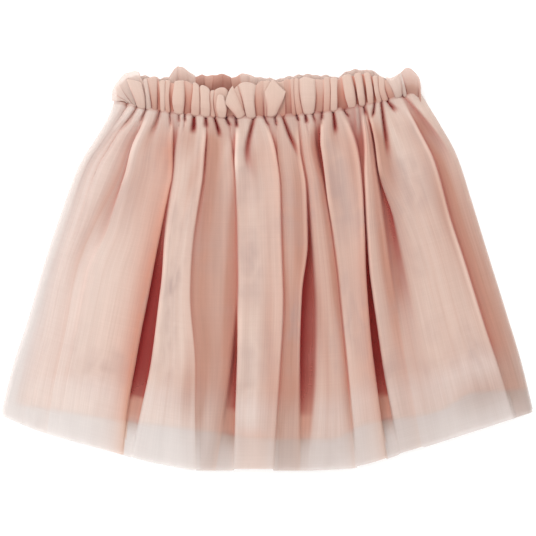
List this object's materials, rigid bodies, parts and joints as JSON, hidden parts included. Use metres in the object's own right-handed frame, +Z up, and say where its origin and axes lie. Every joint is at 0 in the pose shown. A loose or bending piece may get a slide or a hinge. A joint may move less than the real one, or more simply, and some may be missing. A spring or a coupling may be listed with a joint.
{
  "type": "tulle skirt",
  "caption": "Child's gathered tulle skirt laid flat, with a frilled elastic waist, deep overlapping front folds and a lining shorter than the net.",
  "frame": {"origin": "middle of the skirt's outline, on the surface that it lies on", "axes": "+X towards the skirt's right edge seen from above, +Y towards the waist, +Z up, away from the surface"},
  "size_m": [0.4268, 0.3234, 0.0173],
  "materials": {
    "net": "soft matt nylon net, dusty pink, slightly see-through",
    "lining": "smooth matt woven lining, salmon pink"
  },
  "bodies": {
    "root": {"tulle_front": "net", "tulle_back": "net", "lining_front": "lining", "lining_back": "lining", "waist_frill_front": "net", "waist_frill_back": "net"}
  },
  "joints": []
}
